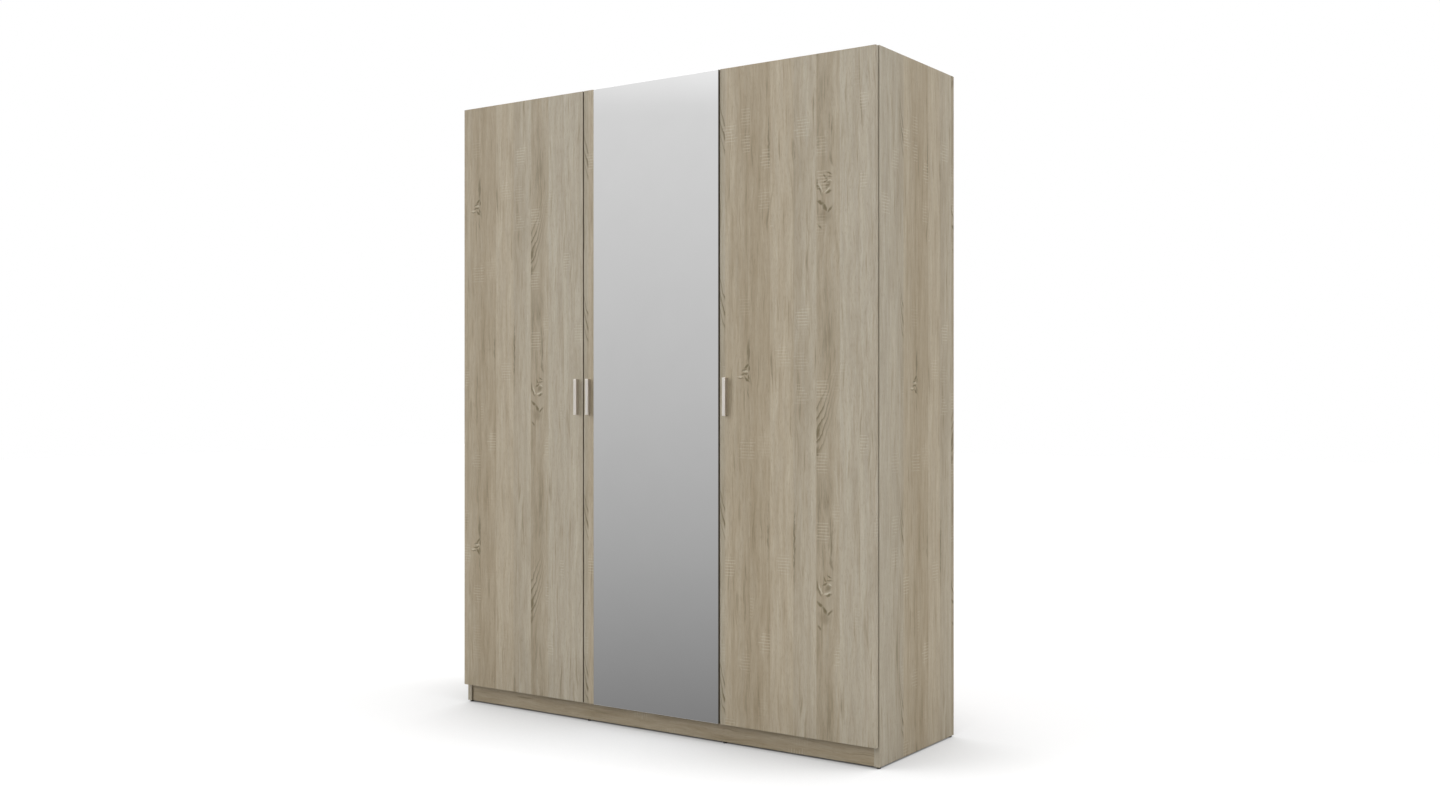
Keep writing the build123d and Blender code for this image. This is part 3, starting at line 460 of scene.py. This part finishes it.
# Back sheets: 3 mm hardboard nailed on from behind, lacquered white on the inside. Behind it is bare brown
# fibre, felted into darker and lighter flecks, which are drawn coarser than life so that they show.
LACQUER = ("#DEDCD5", "#E9E7E1")
FIBRE = ("#77573A", "#A07E58")
FELT = 0.014
FELT_RELIEF = 0.0001
BLOTCH = 0.09
SHEET_ROUGHNESS = (0.35, 0.8)
material, tree, shader = surface("lacquered_hardboard")
spot = add(tree, "ShaderNodeTexCoord").outputs["Object"]
sheet_low, sheet_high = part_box("middle_back_panel")
depth_in = add(tree, "ShaderNodeSeparateXYZ", {0: spot}).outputs["Y"]
half_way = (sheet_low[1] + sheet_high[1]) / 2
behind = add(tree, "ShaderNodeMath", {0: depth_in, 1: half_way}, operation="GREATER_THAN")
felt = {"Vector": spot, "Scale": 1 / FELT, "Detail": 4.0, "Roughness": 0.7}
flecks = add(tree, "ShaderNodeTexNoise", felt)
blotches = add(tree, "ShaderNodeTexNoise", {"Vector": spot, "Scale": 1 / BLOTCH})
sides = []
for pattern, (deep, light) in ((blotches, LACQUER), (flecks, FIBRE)):
    tones = {0: pattern, 6: linear(deep), 7: linear(light)}
    sides.append(add(tree, "ShaderNodeMix", tones, data_type="RGBA"))
worn = {"Value": behind, "To Min": SHEET_ROUGHNESS[0], "To Max": SHEET_ROUGHNESS[1]}
raised = {"Height": flecks, "Distance": FELT_RELIEF, "Strength": RELIEF_STRENGTH}
feed(tree, shader, {
    "Base Color": add(tree, "ShaderNodeMix", {0: behind, 6: sides[0], 7: sides[1]}, data_type="RGBA"),
    "Roughness": add(tree, "ShaderNodeMapRange", worn),
    "Normal": add(tree, "ShaderNodeBump", raised),
})
dress(material, *[bay + "_back_panel" for bay in BAYS])
dress(zinc_steel, "back_nails")

# Wall brackets, shelf pins and their like: bent or turned steel with the same zinc plate as the screws,
# fixed inside the carcass.
dress(zinc_steel, "wall_brackets", "wall_bracket_screws", "shelf_pins", "rail_socket_screws")

# Hanging rails: oval tube of chromed steel, pushed into cast end sockets that are screwed to the uprights.
# Chrome is almost a mirror, with a few dull patches from use.
chrome = mottled(
    "chromed_steel", tones=("#D9DCDE", "#E8EAEB"), roughness=(0.05, 0.14), patch=[0.03] * 3, detail=4.0,
    even=METAL,
)
dress(chrome, "left_hanging_rail", "middle_hanging_rail")
dress(cast_zinc, "rail_sockets")

# Doors: 16 mm board with the same print upright, edged all round, hung on cup hinges. They are cut from
# the print one after another, so the same staves come back on each door at another height. The edges at
# the seams, and the outer ones along their back, have a browner band of painted shade, which stands in for
# the shade in those gaps and draws dark lines there.
SEAM_SHADE_WIDTH = 0.016
OUTER_SHADE_WIDTH = 0.004
oak_board("left_door_panel", UPRIGHT, (29, 327), [(0, OUTER_SHADE_WIDTH), (1, SEAM_SHADE_WIDTH)])
oak_board("middle_door_panel", UPRIGHT, (0, 895), [(0, SEAM_SHADE_WIDTH), (1, SEAM_SHADE_WIDTH)])
oak_board("right_door_panel", UPRIGHT, (0, 867), [(0, SEAM_SHADE_WIDTH), (1, OUTER_SHADE_WIDTH)])

# Hinges: pressed steel cups, arms and plates with a riveted pin. The cups sit in bores in the doors, the
# plates are screwed to the uprights. The nickel plate is smooth and a little warmer than zinc.
hinge_steel = mottled(
    "nickel_plated_steel", tones=("#B5B1A9", "#CFCCC5"), roughness=(0.18, 0.34), patch=[0.006] * 3,
    detail=4.0, even=METAL,
)
for bay in BAYS:
    dress(hinge_steel, *[f"{bay}_hinge_{part}" for part in ("cups", "pins", "arms", "plates")])
    dress(zinc_steel, f"{bay}_cup_screws", f"{bay}_plate_screws")

# Mirror: 3 mm float glass, silvered on the back and glued to the middle door, its front edges ground to
# a small arris. The cut edge is frosted and greenish, its frost drawn coarser than life so that it shows,
# and the back has grey protective paint.
ARRIS = 0.0005
FACING = 0.5
silvered_glass = mottled(
    "silvered_glass", tones=("#F4F4F4", "#F8F8F8"), roughness=(0.0, 0.02), patch=[0.12] * 3, detail=3.0,
    even=METAL,
)
ground_edge = mottled(
    "ground_glass_edge", tones=("#33352F", "#4A4C45"), roughness=(0.25, 0.45), patch=[0.008] * 3, detail=3.0,
)
back_paint = mottled(
    "mirror_back_paint", tones=("#5C6064", "#70757A"), roughness=(0.55, 0.65), patch=[0.03] * 3, detail=3.0,
)
low, high = (Vector(corner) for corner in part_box("mirror"))
mesh = bmesh.new()
bmesh.ops.create_cube(mesh, size=1.0)
bmesh.ops.scale(mesh, vec=high - low, verts=mesh.verts)
bmesh.ops.translate(mesh, vec=(low + high) / 2, verts=mesh.verts)
front = min(mesh.faces, key=lambda face: face.calc_center_median().y)
rim = list(front.edges)
bmesh.ops.bevel(mesh, geom=rim, offset=ARRIS, affect="EDGES", segments=1, profile=0.5, material=-1)
for face in mesh.faces:
    face.material_index = 0 if face.normal.y < -FACING else 2 if face.normal.y > FACING else 1
data = bpy.data.meshes.new("mirror_pane")
mesh.to_mesh(data)
mesh.free()
for finish in (silvered_glass, ground_edge, back_paint):
    data.materials.append(finish)
pane = bpy.data.objects.new("mirror_pane", data)
bpy.context.scene.collection.objects.link(pane)
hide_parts("mirror")
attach(pane, "middle_door")

# Handles: cast zinc bars, each held by two screws from behind the door. The satin nickel plate is brushed
# along the bar, so its shine is wide and soft. The brush lines are drawn coarser than life so that they show.
BRUSH_RELIEF = 0.00003
satin_nickel = mottled(
    "satin_nickel", tones=("#D6D0C8", "#E7E2DB"), roughness=(0.4, 0.55), patch=(0.003, 0.003, 0.05),
    detail=3.0, relief=BRUSH_RELIEF, even=METAL,
)
dress(satin_nickel, *[bay + "_handle" for bay in BAYS])
dress(zinc_steel, *[bay + "_handle_screws" for bay in BAYS])

# Door bumpers: small domes of clear soft polyurethane, stuck to the front edges of the uprights. They let
# most light through and look slightly cloudy. The clouds are drawn coarse enough to show.
CLEAR = {"Transmission Weight": 0.7, "IOR": 1.5}
polyurethane = mottled(
    "clear_polyurethane", tones=("#DDE0DD", "#F0F2F0"), roughness=(0.15, 0.3), patch=[0.004] * 3, detail=2.0,
    even=CLEAR,
)
dress(polyurethane, "door_bumpers")

# Studio: a plain pale floor under a soft dome and two soft boxes, front left and back right. The camera sees
# white past the object, the mirror and metals a backdrop that darkens towards the floor. The floor is lifted
# to white where the camera looks at it, less so close to the object, and keeps its shadow.
# Floor: half its width, the tone that lights the object, the tone that the camera sees and how far that is
# lifted, how far from the object the lift starts to fall, and how open a place has to be for all of it
FLOOR_HALF = 20.0
FLOOR_TONE = "#E2E2E2"
FLOOR_SEEN = "#A2A2A2"
FLOOR_LIFT = 0.68
CONTACT = 0.65
CONTACT_EDGE = 0.92
# Light of the dome and the backdrop by the height looked at, from straight down (-1) to straight up (1), and
# how the backdrop dims from the front to the back
DOME = ((-1.0, 0.37), (0.0, 0.37), (0.3, 0.43), (0.6, 0.6), (1.0, 1.05))
BACKDROP = (
    (-1.0, 0.85), (-0.45, 0.8), (-0.24, 0.195), (-0.1, 0.405),
    (0.0, 0.52), (0.2, 0.7), (0.4, 2.1), (1.0, 2.6),
)
BACK_STARTS = (-0.1, 0.7)
BACK_LEVEL = 0.45
# Soft boxes: the way to each and its level, then how near to that way the light starts and is full
SOFT_BOXES = (((-0.68, -0.6, 0.42), 4.25), ((0.75, 0.45, 0.48), 3.8))
BOX_EDGE = (0.9, 0.97)
material, tree, shader = surface("studio_floor")
seen = add(tree, "ShaderNodeLightPath").outputs["Is Camera Ray"]
# Painted shade: an occlusion node darkens the floor's tone close to the object and lowers its lift there, a
# painted contact shadow around the foot
near = add(tree, "ShaderNodeAmbientOcclusion", {"Color": linear(FLOOR_TONE), "Distance": CONTACT})
tones = {0: seen, 6: near, 7: linear(FLOOR_SEEN)}
lift = {"Value": near.outputs["AO"], "From Max": CONTACT_EDGE, "To Max": FLOOR_LIFT}
lift = add(tree, "ShaderNodeMapRange", lift)
feed(tree, shader, {
    "Base Color": add(tree, "ShaderNodeMix", tones, data_type="RGBA"),
    "Roughness": 1.0,
    "Specular IOR Level": 0.0,
    "Emission Color": linear("#FFFFFF"),
    "Emission Strength": add(tree, "ShaderNodeMath", {0: seen, 1: lift}, operation="MULTIPLY"),
})
mesh = bmesh.new()
bmesh.ops.create_grid(mesh, x_segments=1, y_segments=1, size=FLOOR_HALF)
data = bpy.data.meshes.new("studio_floor")
mesh.to_mesh(data)
mesh.free()
data.materials.append(material)
floor = bpy.data.objects.new("studio_floor", data)
bpy.context.scene.collection.objects.link(floor)
floor.visible_glossy = False
floor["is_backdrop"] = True

world = bpy.data.worlds.new("studio")
bpy.context.scene.world = world
world.use_nodes = True
tree = world.node_tree
outward = add(tree, "ShaderNodeTexCoord").outputs["Generated"]
ways = add(tree, "ShaderNodeSeparateXYZ", {0: outward})
height = add(tree, "ShaderNodeMapRange", {"Value": ways.outputs["Z"], "From Min": -1.0})
skies = []
for levels in (DOME, BACKDROP):
    stops = [((z + 1) / 2, [level] * 3 + [1.0]) for z, level in levels]
    skies.append(add(tree, "ShaderNodeValToRGB", {0: height}, stops))
dome = skies[0]
for way, level in SOFT_BOXES:
    toward = {0: outward, 1: Vector(way).normalized()}
    near = add(tree, "ShaderNodeVectorMath", toward, operation="DOT_PRODUCT").outputs["Value"]
    glow = {"Value": near, "From Min": BOX_EDGE[0], "From Max": BOX_EDGE[1], "To Max": level}
    glow = add(tree, "ShaderNodeMapRange", glow, **SMOOTH)
    dome = add(tree, "ShaderNodeVectorMath", {0: dome, 1: glow}, operation="ADD")
dimmed = {"Value": ways.outputs["Y"], "From Min": BACK_STARTS[0], "From Max": BACK_STARTS[1]}
dimmed = add(tree, "ShaderNodeMapRange", dimmed | {"To Min": 1.0, "To Max": BACK_LEVEL})
backdrop = add(tree, "ShaderNodeVectorMath", {0: skies[1], "Scale": dimmed}, operation="SCALE")
path = add(tree, "ShaderNodeLightPath")
lit = {0: path.outputs["Is Glossy Ray"], 6: dome, 7: backdrop}
lit = add(tree, "ShaderNodeMix", lit, data_type="RGBA")
sky = {0: path.outputs["Is Camera Ray"], 6: lit, 7: linear("#FFFFFF")}
feed(tree, tree.nodes["Background"], {"Color": add(tree, "ShaderNodeMix", sky, data_type="RGBA")})

# Camera: about 1 m above the floor with a level line of sight, fitted to the straight edges of the object
CAMERA_PLACE = (2.53485, -3.53356, 0.97423)
CAMERA_TURN = 34.64
LENS = 35.57
SENSOR = 36.0
camera = bpy.data.objects.new("camera", bpy.data.cameras.new("camera"))
camera.location = CAMERA_PLACE
camera.rotation_euler = (math.radians(90), 0, math.radians(CAMERA_TURN))
camera.data.lens = LENS
camera.data.sensor_width = SENSOR
bpy.context.scene.collection.objects.link(camera)
bpy.context.scene.camera = camera
bpy.context.scene.view_settings.view_transform = "Standard"

low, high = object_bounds()
